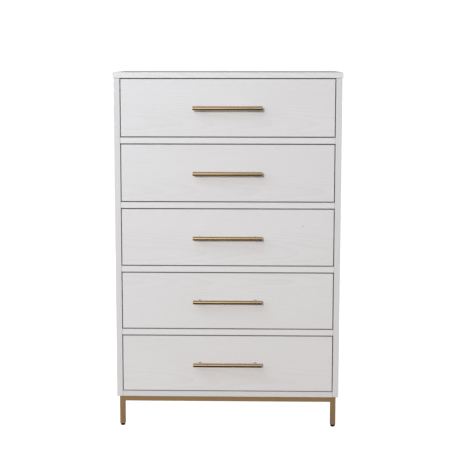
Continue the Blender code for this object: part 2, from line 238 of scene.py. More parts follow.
# how each mark is drawn out along the grain, across it and through the board
figureShape = {
    "wander": (1.7, 7, 7),
    "ripple": (9, 60, 60),
    "rippleSize": 0.0016,
    "rings": [(0.0, 0.0), (0.45, 0.12), (0.86, 0.85), (0.93, 1.0), (1.0, 0.0)],
    "pores": (70, 1500, 1500),
    "fibres": (10, 330, 330),
    "clouds": (2.6, 9, 9),
    "knots": (7, 11, 11),
    "knotEdge": (0.045, 0.018),
    "knotChance": 0.55,  # of a pin knot in each cell
}


def makeWoodFigure():
    # growth rings round a pith that runs along the board, with pores and fibres drawn out along it
    group, given, result = newGroup(
        "wood figure",
        {
            "Place": ("Vector", (0, 0, 0)),
            "Ring Width": ("Float", 0.005),
            "Taper": ("Float", 0.03),
            "Wander": ("Float", 0.01),
        },
        {"Rings": "Float", "Pores": "Float", "Fibres": "Float", "Clouds": "Float", "Knots": "Float"},
    )
    place = given["Place"]
    along, across, depth = axesOf(group, place)
    wander = drawnNoise(group, place, figureShape["wander"], 2)
    wander = calc(group, "MULTIPLY", calc(group, "SUBTRACT", wander, 0.5), given["Wander"])
    ripple = drawnNoise(group, place, figureShape["ripple"], 1)
    ripple = calc(group, "MULTIPLY", calc(group, "SUBTRACT", ripple, 0.5), figureShape["rippleSize"])
    squares = calc(group, "MULTIPLY_ADD", across, across, calc(group, "MULTIPLY", depth, depth))
    radius = calc(group, "SQRT", squares)
    radius = calc(group, "MULTIPLY_ADD", along, given["Taper"], radius)
    radius = calc(group, "ADD", calc(group, "ADD", radius, wander), ripple)
    turn = calc(group, "FRACT", calc(group, "DIVIDE", radius, given["Ring Width"]))
    rings = ramp(group, turn, figureShape["rings"])
    pores = remap(group, drawnNoise(group, place, figureShape["pores"], 1), 0.60, 0.72)
    pores = calc(group, "MULTIPLY", pores, calc(group, "MULTIPLY_ADD", rings, 0.6, 0.4))
    fibres = drawnNoise(group, place, figureShape["fibres"], 4, 0.65)
    clouds = drawnNoise(group, place, figureShape["clouds"], 3)
    spots = addNode(group, "TexVoronoi")  # pin knots, a few to a board
    feed(group, spots.inputs["Vector"], calcVector(group, "MULTIPLY", place, figureShape["knots"]))
    feed(group, spots.inputs["Scale"], 1.0)
    chance = axesOf(group, spots.outputs["Color"])["X"]
    rare = calc(group, "GREATER_THAN", chance, 1 - figureShape["knotChance"])
    spot = remap(group, spots.outputs["Distance"], *figureShape["knotEdge"])
    knots = calc(group, "MULTIPLY", spot, rare)
    marks = {"Rings": rings, "Pores": pores, "Fibres": fibres, "Clouds": clouds, "Knots": knots}
    feedAll(group, result, marks)
    return group


def makeEdgeWear():
    # 1 along the edges, broken up where fingers and cloths rub least
    group, given, result = newGroup(
        "edge wear",
        {"Width": ("Float", 0.002), "Break Up": ("Float", 40.0), "Place": ("Vector", (0, 0, 0))},
        {"Mask": "Float"},
    )
    rounded = softEdges(group, given["Width"])
    flat = addNode(group, "NewGeometry").outputs["Normal"]
    turned = calcVector(group, "DOT_PRODUCT", rounded, flat, "Value")
    edge = remap(group, turned, 0.995, 0.88)
    broken = noise(group, given["Place"], scale=given["Break Up"], detail=4, roughness=0.6)
    feed(group, result["Mask"], calc(group, "MULTIPLY", edge, remap(group, broken, 0.42, 0.66)))
    return group


def makeBrushing():
    # fine lines left by a brushing wheel, and the faint marks of hands
    group, given, result = newGroup(
        "brushed metal",
        {"Place": ("Vector", (0, 0, 0)), "Stretch": ("Vector", (6, 900, 900))},
        {"Lines": "Float", "Smudges": "Float", "Pits": "Float"},
    )
    lines = drawnNoise(group, given["Place"], given["Stretch"], 5, 0.7)
    smudges = noise(group, given["Place"], scale=38, detail=3, roughness=0.55, distortion=0.6)
    smudges = remap(group, smudges, 0.40, 0.68)
    pits = remap(group, noise(group, given["Place"], scale=900, detail=1), 0.70, 0.80)
    feedAll(group, result, {"Lines": lines, "Smudges": smudges, "Pits": pits})
    return group


def makeHandling():
    # slow unevenness of a coat, and dust that settles on what faces up
    group, given, result = newGroup(
        "dust and handling",
        {"Place": ("Vector", (0, 0, 0)), "Scale": ("Float", 22.0)},
        {"Uneven": "Float", "Dust": "Float"},
    )
    uneven = noise(group, given["Place"], scale=given["Scale"], detail=4, roughness=0.6)
    facing = axesOf(group, addNode(group, "NewGeometry").outputs["Normal"])
    up = remap(group, facing["Z"], 0.6, 1.0)
    specks = noise(group, given["Place"], scale=520, detail=3, roughness=0.7)
    specks = remap(group, specks, 0.50, 0.72)
    feedAll(group, result, {"Uneven": uneven, "Dust": calc(group, "MULTIPLY", up, specks)})
    return group


woodFigure = makeWoodFigure()
edgeWear = makeEdgeWear()
brushing = makeBrushing()
handling = makeHandling()


def boardPlace(tree, order):
    # order names the axes along the grain, across it and through the board
    coordinates = addNode(tree, "TexCoord").outputs["Object"]
    pith = addNode(tree, "Attribute", attribute_type="OBJECT", attribute_name="pith").outputs["Vector"]
    parts = axesOf(tree, calcVector(tree, "SUBTRACT", coordinates, pith))
    joined = addNode(tree, "CombineXYZ")
    for socket, axis in zip(joined.inputs, order):
        feed(tree, socket, parts[axis])
    return coordinates, joined.outputs[0]


def drawFigure(tree, place, style):
    values = {
        "Place": place,
        "Ring Width": style["ringWidth"],
        "Taper": style["taper"],
        "Wander": style["wander"],
    }
    return placeGroup(tree, woodFigure, values)


def handledCoat(tree, place, style):
    return placeGroup(tree, handling, {"Place": place, "Scale": style["unevenScale"]})


def wornEdges(tree, place, style):
    values = {"Width": style["wearWidth"], "Break Up": style["wearBreakUp"], "Place": place}
    return placeGroup(tree, edgeWear, values)["Mask"]


whiteWash = {
    "paint": (0.800, 0.795, 0.806),
    "ringTone": (0.700, 0.690, 0.690),
    "poreTone": (0.560, 0.515, 0.475),
    "woodTone": (0.560, 0.455, 0.345),
    "ringShow": 0.27,
    "poreShow": 0.30,
    "knotShow": 0.55,
    "fibreShow": 0.16,
    "cloudShow": 0.20,
    "wearShow": 0.30,
    "gapShadeTone": (0.400, 0.375, 0.360),  # painted shade on the edges that face up and down, darkening the gaps between the boards
    "ringWidth": 0.0065,
    "taper": 0.035,
    "wander": 0.030,
    "edgeRoundSpread": 0.0013,
    "wearWidth": 0.0022,
    "wearBreakUp": 26.0,
    "unevenScale": 7.0,
    "roughness": (0.46, 0.64),
    "grainDepth": 0.00022,
    "grainStrength": 0.55,
    "gloss": {"Specular IOR Level": 0.35, "Coat Weight": 0.06, "Coat Roughness": 0.35},
}
# the axes along the grain, across it and through the board, how dark the painted shade on the up and down
# edges is, and how light each board's white is set, as painted light and shade
coats = {
    "front": {"order": "XZY", "gapShadeShow": 0.75, "tone": 1.0},
    "rail": {"order": "XYZ", "gapShadeShow": 0.55, "tone": 1.03},
    "top": {"order": "XYZ", "gapShadeShow": 0.12, "tone": 1.05},
    "floor": {"order": "XYZ", "gapShadeShow": 0.0, "tone": 0.915},
    "side": {"order": "ZYX", "gapShadeShow": 0.12, "tone": 0.945},
}


def makeWhiteWash(name, coat):
    material, tree, shader = newMaterial(name)
    style = whiteWash
    coordinates, place = boardPlace(tree, coat["order"])
    figure = drawFigure(tree, place, style)
    wear = wornEdges(tree, coordinates, style)
    handled = handledCoat(tree, coordinates, style)
    cloud = remap(tree, figure["Clouds"], 0.3, 0.7)
    # painted light and shade: each kind of board gets the same white set lighter or darker
    paint = [level * coat["tone"] for level in style["paint"]]
    color = glaze(tree, paint, style["ringTone"], cloud, style["cloudShow"])
    color = glaze(tree, color, style["ringTone"], figure["Rings"], style["ringShow"])
    fibre = remap(tree, figure["Fibres"], 0.35, 0.72)
    color = glaze(tree, color, style["ringTone"], fibre, style["fibreShow"])
    color = glaze(tree, color, style["poreTone"], figure["Pores"], style["poreShow"])
    color = glaze(tree, color, style["poreTone"], figure["Knots"], style["knotShow"])
    color = glaze(tree, color, style["woodTone"], wear, style["wearShow"])
    rounded = softEdges(tree, style["edgeRoundSpread"])
    slope = calc(tree, "ABSOLUTE", axesOf(tree, rounded)["Z"])
    # painted shade: the edges that face up or down are darkened, which deepens the gaps between the boards
    gapShade = remap(tree, slope, 0.10, 0.65, 0.0, coat["gapShadeShow"])
    color = mixColors(tree, gapShade, color, style["gapShadeTone"])
    rough = roughBetween(tree, handled["Uneven"], style["roughness"])
    rough = calc(tree, "MULTIPLY_ADD", figure["Pores"], 0.12, rough)
    rough = calc(tree, "MULTIPLY_ADD", handled["Dust"], 0.10, rough)
    height = calc(tree, "MULTIPLY", figure["Pores"], -1.0)
    height = calc(tree, "MULTIPLY_ADD", figure["Rings"], -0.35, height)
    height = calc(tree, "MULTIPLY_ADD", figure["Fibres"], 0.9, height)
    normal = bumpNormal(tree, height, style["grainDepth"], style["grainStrength"], rounded)
    finishShader(tree, shader, color, rough, normal, style["gloss"])
    return material


sawnWood = {
    "taper": 0.025,
    "wander": 0.016,
    "ringShow": 0.55,
    "fibreShow": 0.30,
    "cloudShow": 0.18,
    "poreShow": 0.55,
    "knotShow": 0.70,
    "wearShow": 0.55,
    "wearWidth": 0.0016,
    "wearBreakUp": 60.0,
    "unevenScale": 14.0,
    "grainDepth": 0.00020,
    "edgeSpread": 0.0006,
}
drawerWood = {
    **sawnWood,
    "light": (0.640, 0.490, 0.330),
    "dark": (0.450, 0.300, 0.175),
    "pore": (0.260, 0.160, 0.090),
    "ringWidth": 0.0048,
    "roughness": (0.50, 0.66),
    "wearTone": (0.70, 0.57, 0.41),
    "gloss": {"Specular IOR Level": 0.4, "Coat Weight": 0.0, "Coat Roughness": 0.30},
}
runnerWood = {
    **sawnWood,
    "light": (0.600, 0.400, 0.225),
    "dark": (0.430, 0.255, 0.130),
    "pore": (0.250, 0.140, 0.070),
    "ringWidth": 0.0022,
    "roughness": (0.30, 0.46),
    "wearTone": (0.68, 0.50, 0.32),
    "gloss": {"Specular IOR Level": 0.4, "Coat Weight": 0.25, "Coat Roughness": 0.30},
}


def makeBareWood(name, order, style):
    material, tree, shader = newMaterial(name)
    coordinates, place = boardPlace(tree, order)
    figure = drawFigure(tree, place, style)
    wear = wornEdges(tree, coordinates, style)
    handled = handledCoat(tree, coordinates, style)
    color = glaze(tree, style["light"], style["dark"], figure["Rings"], style["ringShow"])
    fibre = remap(tree, figure["Fibres"], 0.30, 0.75)
    color = glaze(tree, color, style["dark"], fibre, style["fibreShow"])
    color = glaze(tree, color, style["dark"], figure["Clouds"], style["cloudShow"])
    color = glaze(tree, color, style["pore"], figure["Pores"], style["poreShow"])
    color = glaze(tree, color, style["pore"], figure["Knots"], style["knotShow"])
    color = glaze(tree, color, style["wearTone"], wear, style["wearShow"])
    rough = roughBetween(tree, handled["Uneven"], style["roughness"])
    rough = calc(tree, "MULTIPLY_ADD", figure["Pores"], 0.15, rough)
    height = calc(tree, "MULTIPLY", figure["Pores"], -1.0)
    height = calc(tree, "MULTIPLY_ADD", figure["Fibres"], 0.8, height)
    eased = softEdges(tree, style["edgeSpread"])
    normal = bumpNormal(tree, height, style["grainDepth"], 0.5, eased)
    finishShader(tree, shader, color, rough, normal, style["gloss"])
    return material


plywood = {
    "plies": 5,
    "ringWidth": 0.011,
    "taper": 0.06,
    "wander": 0.05,
    "wearWidth": 0.0012,
    "wearBreakUp": 70.0,
    "unevenScale": 10.0,
    "grainDepth": 0.00018,
    "light": (0.660, 0.520, 0.350),
    "dark": (0.520, 0.370, 0.220),
    "glueLine": (0.240, 0.150, 0.090),
    "coat": (0.735, 0.728, 0.735),  # white primer on the outside of the back
    "thinCoat": (0.620, 0.590, 0.555),
    "ringShow": 0.42,
    "fibreShow": 0.3,
    "coatShow": {"Clouds": 0.12, "Rings": 0.14, "Pores": 0.35},
    "glueShow": 0.6,
    "endShow": 0.35,
    "wearShow": 0.4,
    "roughness": (0.52, 0.70),
}


def makePlywood(name, order, throughAxis, coated):
    material, tree, shader = newMaterial(name)
    coordinates, place = boardPlace(tree, order)
    style = plywood
    figure = drawFigure(tree, place, style)
    wear = wornEdges(tree, coordinates, style)
    handled = handledCoat(tree, coordinates, style)
    if coated:
        show = style["coatShow"]
        face = glaze(tree, style["coat"], style["thinCoat"], figure["Clouds"], show["Clouds"])
        face = glaze(tree, face, style["thinCoat"], figure["Rings"], show["Rings"])
        face = glaze(tree, face, style["dark"], figure["Pores"], show["Pores"])
    else:
        face = glaze(tree, style["light"], style["dark"], figure["Rings"], style["ringShow"])
        fibre = remap(tree, figure["Fibres"], 0.3, 0.75)
        face = glaze(tree, face, style["dark"], fibre, style["fibreShow"])
    through = axesOf(tree, addNode(tree, "TexCoord").outputs["Generated"])
    level = calc(tree, "MULTIPLY", through[throughAxis], float(style["plies"]))
    parity = calc(tree, "MODULO", calc(tree, "FLOOR", level), 2.0)
    edge = mixColors(tree, parity, style["light"], style["dark"])
    glue = remap(tree, calc(tree, "PINGPONG", level, 0.5), 0.09, 0.0)
    edge = glaze(tree, edge, style["glueLine"], glue, style["glueShow"])
    edge = glaze(tree, edge, style["dark"], figure["Fibres"], style["endShow"])
    normal = axesOf(tree, addNode(tree, "NewGeometry").outputs["Normal"])
    facing = calc(tree, "ABSOLUTE", normal[throughAxis])
    color = mixColors(tree, remap(tree, facing, 0.45, 0.85), edge, face)
    color = glaze(tree, color, style["light"], wear, style["wearShow"])
    rough = roughBetween(tree, handled["Uneven"], style["roughness"])
    height = calc(tree, "MULTIPLY", figure["Pores"], -1.0)
    height = calc(tree, "MULTIPLY_ADD", figure["Fibres"], 0.8, height)
    normal = bumpNormal(tree, height, style["grainDepth"], 0.5)
    finishShader(tree, shader, color, rough, normal, {"Specular IOR Level": 0.35})
    return material


brassFinish = {
    "handle": {
        "softEdge": 0.0,  # a turned bar is round already
        "wearWidth": 0.0003,
        "wearBreakUp": 90.0,
        "lineShow": 0.22,
        "wearShow": 0.6,
        "smudges": 0.08,
        "color": (0.71, 0.540, 0.330),
        "dull": (0.59, 0.43, 0.250),
        "post": (0.20, 0.145, 0.095),  # the posts are coloured darker than the bar
        "postFrom": (0.0078, 0.0086),  # behind the bar's centre line
        "under": (0.30, 0.165, 0.075),  # painted shade and painted reflection: the underside of the bar is darkened and reddened
        "underFrom": (-0.0022, -0.0062),  # below the bar's centre line
        "bright": (0.82, 0.62, 0.40),
        "roughness": (0.19, 0.24),
        "stretch": (40, 2200, 2200),
    },
    "base": {
        "softEdge": 0.0010,
        "wearWidth": 0.0012,
        "wearBreakUp": 90.0,
        "lineShow": 0.22,
        "wearShow": 0.6,
        "smudges": 0.22,
        "color": (0.89, 0.59, 0.312),
        "dull": (0.72, 0.47, 0.235),
        "bright": (0.86, 0.60, 0.34),
        "roughness": (0.46, 0.56),
        "stretch": (120, 120, 120),
    },
}


def makeBrass(name, style):
    material, tree, shader = newMaterial(name)
    place = addNode(tree, "TexCoord").outputs["Object"]
    brushed = placeGroup(tree, brushing, {"Place": place, "Stretch": style["stretch"]})
    wear = wornEdges(tree, place, style)
    lines = remap(tree, brushed["Lines"], 0.30, 0.70)
    color = glaze(tree, style["color"], style["dull"], lines, style["lineShow"])
    color = glaze(tree, color, style["dull"], brushed["Smudges"], style["smudges"])
    color = glaze(tree, color, style["bright"], wear, style["wearShow"])
    if "post" in style:
        parts = axesOf(tree, place)
        # painted shade and reflection: the underside of the bar is darkened
        under = remap(tree, parts["Z"], *style["underFrom"])
        color = mixColors(tree, under, color, style["under"])
        behind = remap(tree, parts["Y"], *style["postFrom"])
        color = mixColors(tree, behind, color, style["post"])
    low, high = style["roughness"]
    rough = calc(tree, "MULTIPLY_ADD", brushed["Smudges"], (high - low) * 0.6, low)
    rough = calc(tree, "MULTIPLY_ADD", lines, (high - low) * 0.5, rough)
    rough = calc(tree, "MULTIPLY_ADD", brushed["Pits"], 0.15, rough)
    height = calc(tree, "MULTIPLY_ADD", brushed["Pits"], -0.8, lines)
    eased = softEdges(tree, style["softEdge"]) if style["softEdge"] else None
    normal = bumpNormal(tree, height, 0.00002, 0.10, eased)
    finishShader(tree, shader, color, rough, normal, {"Metallic": 1.0})
    return material


zincPlate = {
    "light": (0.64, 0.63, 0.60),
    "dark": (0.50, 0.50, 0.49),
    "bright": (0.78, 0.78, 0.77),
    "stretch": (300, 300, 300),
    "wearWidth": 0.0004,
    "wearBreakUp": 300.0,
    "wearShow": 0.6,
    "roughness": (0.26, 0.42),
}


def makeSteel(name, style):
    material, tree, shader = newMaterial(name)
    place = addNode(tree, "TexCoord").outputs["Object"]
    brushed = placeGroup(tree, brushing, {"Place": place, "Stretch": style["stretch"]})
    wear = wornEdges(tree, place, style)
    color = mixColors(tree, brushed["Lines"], style["dark"], style["light"])
    color = glaze(tree, color, style["bright"], wear, style["wearShow"])
    rough = roughBetween(tree, brushed["Smudges"], style["roughness"])
    normal = bumpNormal(tree, brushed["Lines"], 0.00002, 0.4)
    finishShader(tree, shader, color, rough, normal, {"Metallic": 1.0})
    return material


nylon = {
    "dark": (0.010, 0.009, 0.008),
    "light": (0.022, 0.020, 0.018),
    "rubbed": (0.070, 0.066, 0.062),
    "unevenScale": 260.0,
    "wearWidth": 0.0008,
    "wearBreakUp": 220.0,
    "wearShow": 0.5,
    "roughness": (0.40, 0.65),
}


def makeNylon(name, style):
    material, tree, shader = newMaterial(name)
    place = addNode(tree, "TexCoord").outputs["Object"]
    handled = handledCoat(tree, place, style)
    wear = wornEdges(tree, place, style)
    color = mixColors(tree, handled["Uneven"], style["dark"], style["light"])
    color = glaze(tree, color, style["rubbed"], wear, style["wearShow"])
    rough = roughBetween(tree, handled["Uneven"], style["roughness"])
    grit = noise(tree, place, scale=2600, detail=2)
    finishShader(tree, shader, color, rough, bumpNormal(tree, grit, 0.00005, 0.5), {})
    return material


frontPaint = makeWhiteWash("white wash on the drawer fronts", coats["front"])
railPaint = makeWhiteWash("white wash on the rails", coats["rail"])
topPaint = makeWhiteWash("white wash on the top", coats["top"])
floorPaint = makeWhiteWash("white wash on the bottom board", coats["floor"])
sidePaint = makeWhiteWash("white wash on the sides", coats["side"])
sideWood = makeBareWood("drawer wood, grain front to back", "YZX", drawerWood)
backWood = makeBareWood("drawer wood, grain side to side", "XZY", drawerWood)
waxedWood = makeBareWood("waxed runner wood", "YZX", runnerWood)
stopWood = makeBareWood("waxed stop wood", "XYZ", runnerWood)
drawerPly = makePlywood("drawer plywood", "XYZ", "Z", coated=False)
backPly = makePlywood("back plywood", "ZXY", "Y", coated=True)
handleBrass = makeBrass("brushed champagne brass", brassFinish["handle"])
baseBrass = makeBrass("satin brass plate", brassFinish["base"])
zincSteel = makeSteel("zinc plated steel", zincPlate)
blackNylon = makeNylon("black nylon", nylon)
print("Materials ready")

finishes = {
    "top_panel": topPaint,
    "left_side_panel": sidePaint,
    "right_side_panel": sidePaint,
    "bottom_panel": floorPaint,
    "back_panel": backPly,
    "base_frame": baseBrass,
}
for number in range(1, drawerCount):
    finishes[f"drawer_rail_{number}"] = railPaint
for number in range(1, drawerCount + 1):
    finishes[f"drawer_{number}_front"] = frontPaint
    finishes[f"drawer_{number}_left_side"] = sideWood
    finishes[f"drawer_{number}_right_side"] = sideWood
    finishes[f"drawer_{number}_back"] = backWood
    finishes[f"drawer_{number}_bottom"] = drawerPly

# the slot of each material, and the axis its grain runs along
usesOf = {
    topPaint: ("white_paint", "X"),
    railPaint: ("white_paint", "X"),
    floorPaint: ("white_paint", "X"),
    frontPaint: ("white_paint", "X"),
    sidePaint: ("white_paint", "Z"),
    backPly: ("painted_plywood", "Z"),
    sideWood: ("drawer_wood", "Y"),
    backWood: ("drawer_wood", "X"),
    drawerPly: ("drawer_plywood", "X"),
    waxedWood: ("runner_hardwood", "Y"),
    stopWood: ("runner_hardwood", "X"),
    baseBrass: ("base_brass", None),
    handleBrass: ("handle_brass", None),
    zincSteel: ("bolt_steel", None),
    blackNylon: ("black_nylon", None),
}

draw = random.Random(12)
bothSides = (("left", -1), ("right", 1))
corners = ("front_left", "front_right", "rear_left", "rear_right")


def dress(piece, material, centre):
    slot, grain = usesOf[material]
    if grain is None:
        return
    # each board is sawn from its own place in a log, so that no two show the same figure
    away = [draw.choice((-1, 1)) * draw.uniform(0.045, 0.085) for axis in range(3)]
    away["XYZ".index(grain)] = draw.uniform(-4, 4)
    piece["pith"] = [centre[axis] + away[axis] for axis in range(3)]


for name, material in finishes.items():
    piece = cadNodes[name]
    for place in piece.material_slots:
        place.material = material
    low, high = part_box(name)
    dress(piece, material, (low + high) / 2)
print("Boards and base finished")


def smoothMesh(mesh):
    mesh.shade_smooth()
    mesh.set_sharp_from_angle(angle=math.radians(30))
    return mesh


def finishMesh(name, shape):
    bmesh.ops.recalc_face_normals(shape, faces=shape.faces)
    mesh = bpy.data.meshes.new(name)
    shape.to_mesh(mesh)
    shape.free()
    return smoothMesh(mesh)


def bridgeRings(shape, lower, upper):
    for step in range(len(lower)):
        after = (step + 1) % len(lower)
        shape.faces.new((lower[step], lower[after], upper[after], upper[step]))


def turnMesh(name, profile, sides, radiusAt=None):
    # profile is (radius, height) from the lower end on the axis to the upper one, turned about Z
    shape = bmesh.new()
    rings = []
    for radius, height in profile[1:-1]:
        ring = []
        for step in range(sides):
            angle = math.tau * step / sides
            reach = radiusAt(radius, height, angle) if radiusAt else radius
            ring.append(shape.verts.new((reach * math.cos(angle), reach * math.sin(angle), height)))
        rings.append(ring)
    for lower, upper in zip(rings, rings[1:]):
        bridgeRings(shape, lower, upper)
    for ring, (radius, height) in ((rings[0], profile[0]), (rings[-1], profile[-1])):
        tip = shape.verts.new((0, 0, height))
        for step in range(sides):
            shape.faces.new((ring[step], ring[(step + 1) % sides], tip))
    return finishMesh(name, shape)


def arc(centreRadius, centreHeight, size, fromDegrees, toDegrees, steps):
    points = []
    for step in range(steps + 1):
        angle = math.radians(fromDegrees + (toDegrees - fromDegrees) * step / steps)
        points.append((centreRadius + size * math.cos(angle), centreHeight + size * math.sin(angle)))
    return points


def startBox(size):
    shape = bmesh.new()
    bmesh.ops.create_cube(shape, size=1)
    bmesh.ops.scale(shape, verts=shape.verts, vec=size)
    return shape


def easeEdges(shape, size):
    bmesh.ops.bevel(
        shape,
        geom=list(shape.edges),
        offset=size,
        segments=3,
        profile=0.5,
        affect="EDGES",
        clamp_overlap=True,
    )


def addPiece(name, mesh, location, material, body, turn=None):
    piece = linkObject(name, mesh)
    if not mesh.materials:
        mesh.materials.append(material)
    if turn is not None:
        piece.rotation_euler = turn.to_euler()
    piece.location = location
    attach(piece, body)
    dress(piece, material, (0, 0, 0))
    return piece


def combine(name, base, others, operation="DIFFERENCE"):
    # the base mesh with each (mesh, matrix) of the others cut out of it or joined to it
    piece = linkObject(name, base)
    tools = []
    for mesh, matrix in others:
        tool = linkObject(name + "_tool", mesh)
        tool.matrix_world = matrix
        tools.append(tool)
        cut = piece.modifiers.new("cut", "BOOLEAN")
        cut.operation = operation
        cut.solver = "EXACT"
        cut.object = tool
    bpy.context.view_layer.update()
    shaped = piece.evaluated_get(bpy.context.evaluated_depsgraph_get())
    mesh = bpy.data.meshes.new_from_object(shaped)
    mesh.name = name
    for thing in (piece, *tools):
        bpy.data.objects.remove(thing)
    return smoothMesh(mesh)


handleShape = {
    "barSides": 72,
    "endEase": 0.0010,
    "postSpacing": 0.200,
    "postRadius": 0.0050,
    "postSides": 40,
    "postEase": 0.0004,
    "filletSize": 0.0014,
}


def makeHandleMesh():
    low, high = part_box("drawer_1_handle")
    radius = (high.z - low.z) / 2
    half = (high.x - low.x) / 2
    reach = (high.y - low.y) - radius
    ease = handleShape["endEase"]
    end = arc(radius - ease, half - ease, ease, 0, 90, 5)
    profile = [(0, -half)] + [(r, -h) for r, h in reversed(end)] + end + [(0, half)]
    bar = turnMesh("handle bar", profile, handleShape["barSides"])
    bar.transform(Matrix.Rotation(math.pi / 2, 4, "Y"))
    post = handleShape["postRadius"]
    fillet = handleShape["filletSize"]
    flare = arc(post + fillet, radius + fillet * 1.1, fillet, 270, 180, 5)
    foot = [(post, reach - handleShape["postEase"]), (post - handleShape["postEase"], reach)]
    profile = [(0, 0), (post + fillet, 0)] + flare + foot + [(0, reach)]
    stem = turnMesh("handle post", profile, handleShape["postSides"])
    stem.transform(Matrix.Rotation(-math.pi / 2, 4, "X"))
    places = [Matrix.Translation((side * handleShape["postSpacing"] / 2, 0, 0)) for side in (-1, 1)]
    return combine("bar handle", bar, [(stem, place) for place in places], "UNION"), radius


handleMesh, handleRadius = makeHandleMesh()
for number in range(1, drawerCount + 1):
    name = f"drawer_{number}_handle"
    low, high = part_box(name)
    place = ((low.x + high.x) / 2, low.y + handleRadius, (low.z + high.z) / 2)
    handle = addPiece(f"drawer_{number}_bar_handle", handleMesh, place, handleBrass, f"drawer_{number}")
    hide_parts(name)
print("Handles turned")


def anyTurn(most):
    # no two fasteners come to rest at the same turn
    return Matrix.Rotation(draw.uniform(0, most), 3, "Z")


def threadRadius(core, crest, pitch):
    # a helical thread: the radius rises and falls once in each pitch, round a turn
    def radiusAt(radius, height, angle):
        if radius < crest - 1e-6:
            return radius
        phase = (height / pitch - angle / math.tau) % 1
        return core + (crest - core) * (1 - abs(2 * phase - 1))

    return radiusAt


def threadedProfile(startHeight, endHeight, crest, pitch):
    steps = max(2, round((endHeight - startHeight) / pitch * 5))
    return [(crest, startHeight + (endHeight - startHeight) * step / steps) for step in range(steps + 1)]


def crossMesh(length, width, depth):
    # a cross driver from its tip at -depth up past height 0, narrowing downwards
    shape = bmesh.new()
    a, b = length / 2, width / 2
    quarter = [(a, -b), (a, b), (b, b)]
    outline = []
    for turned in range(4):
        outline += quarter
        quarter = [(-y, x) for x, y in quarter]
    levels = []
    for height, reach in ((-depth, 0.55), (0.0, 1.0), (depth, 1.0)):
        ring = []
        for x, y in outline:
            narrowedX = x * reach if abs(x) > b else x
            narrowedY = y * reach if abs(y) > b else y
            ring.append(shape.verts.new((narrowedX, narrowedY, height)))
        levels.append(ring)
    for lower, upper in zip(levels, levels[1:]):
        bridgeRings(shape, lower, upper)
    shape.faces.new(levels[0])
    shape.faces.new(levels[-1])
    return finishMesh("cross driver", shape)


def makePanScrew(name, headRadius, headHeight):
    # a low round head with its flat face at height 0, and a cross recess
    dome = []
    for step in range(7):
        angle = math.radians(90 * step / 6)
        reach = headRadius * (0.55 + 0.45 * math.cos(angle))
        dome.append((reach, headHeight * (0.30 + 0.70 * math.sin(angle))))
    profile = [(0, 0), (headRadius * 0.98, 0)] + dome + [(0, headHeight)]
    head = turnMesh(name + " head", profile, 32)
    cross = crossMesh(headRadius * 1.05, headRadius * 0.26, headHeight * 0.6)
    return combine(name, head, [(cross, Matrix.Translation((0, 0, headHeight)))])


handleScrew = {
    "headRadius": 0.0040,
    "headHeight": 0.0024,
    "washerRadius": 0.0062,
    "washerHole": 0.0023,
    "washerThickness": 0.0010,
    "gap": 0.0001,  # between the washer and the wood
}


def makeWasherMesh(name, outer, inner, thickness):
    shape = bmesh.new()
    ease = thickness * 0.22
    section = [
        (inner, 0),
        (outer - ease, 0),
        (outer, ease),
        (outer, thickness - ease),
        (outer - ease, thickness),
        (inner, thickness),
    ]
    sides = 40
    rings = []
    for radius, height in section:
        angles = [math.tau * step / sides for step in range(sides)]
        rings.append([shape.verts.new((radius * math.cos(a), radius * math.sin(a), height)) for a in angles])
    for index, ring in enumerate(rings):
        bridgeRings(shape, ring, rings[(index + 1) % len(rings)])
    return finishMesh(name, shape)


panScrewMesh = makePanScrew("pan head screw", handleScrew["headRadius"], handleScrew["headHeight"])
washerMesh = makeWasherMesh(
    "screw washer", handleScrew["washerRadius"], handleScrew["washerHole"], handleScrew["washerThickness"]
)
towardsBack = Matrix.Rotation(-math.pi / 2, 3, "X")
for number in range(1, drawerCount + 1):
    body = f"drawer_{number}"
    low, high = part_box(body + "_front")
    centreZ = (low.z + high.z) / 2
    for label, side in bothSides:
        x = side * handleShape["postSpacing"] / 2
        y = high.y + handleScrew["gap"]
        name = f"{body}_handle_screw_{label}"
        addPiece(name + "_washer", washerMesh, (x, y, centreZ), zincSteel, body, towardsBack)
        y += handleScrew["washerThickness"]
        spin = anyTurn(math.pi)
        addPiece(name, panScrewMesh, (x, y, centreZ), zincSteel, body, towardsBack @ spin)
print("Handles screwed on")


glideShape = {
    "stemLength": 0.016,
    "grips": 18,
    "gripDepth": 0.00035,
    "sides": 108,
    "rounding": 0.0022,
    "ease": 0.0006,
    "threadPitch": 0.0010,
    "threadCrest": 0.0030,
    "threadCore": 0.0025,
}


def makeGlideMesh():
    low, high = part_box("foot_front_left")
    radius = (high.x - low.x) / 2
    style = glideShape
    crest, ease, rounding = style["threadCrest"], style["ease"], style["rounding"]
    padTop = high.z - style["stemLength"]
    rise = padTop - ease
    profile = [(0, 0)] + arc(radius - rounding, rounding, rounding, -90, 0, 6)
    profile += [(radius, rounding + ease), (radius, rise - ease), (radius, rise)]
    profile += [(radius - ease, padTop), (crest + 0.0012, padTop), (crest - 0.0004, padTop + 0.0002)]
    profile += threadedProfile(padTop + ease, high.z - ease, crest, style["threadPitch"])
    profile += [(style["threadCore"] - 0.0003, high.z), (0, high.z)]
    threads = threadRadius(style["threadCore"], crest, style["threadPitch"])

    def shapeAt(reach, height, angle):
        if abs(reach - radius) < 1e-6 and rounding + ease / 2 < height < rise - ease / 2:
            return reach - style["gripDepth"] * (0.5 + 0.5 * math.cos(style["grips"] * angle))
        if height > padTop + 0.0004 and reach < crest + 1e-6:
            return threads(reach, height, angle)
        return reach

    return turnMesh("glide", profile, style["sides"], shapeAt)


glideMesh = makeGlideMesh()
for corner in corners:
    name = "foot_" + corner
    low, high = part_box(name)
    spin = anyTurn(math.tau)
    place = ((low.x + high.x) / 2, (low.y + high.y) / 2, low.z)
    glide = addPiece("glide_" + corner, glideMesh, place, blackNylon, "carcass", spin)
    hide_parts(name)


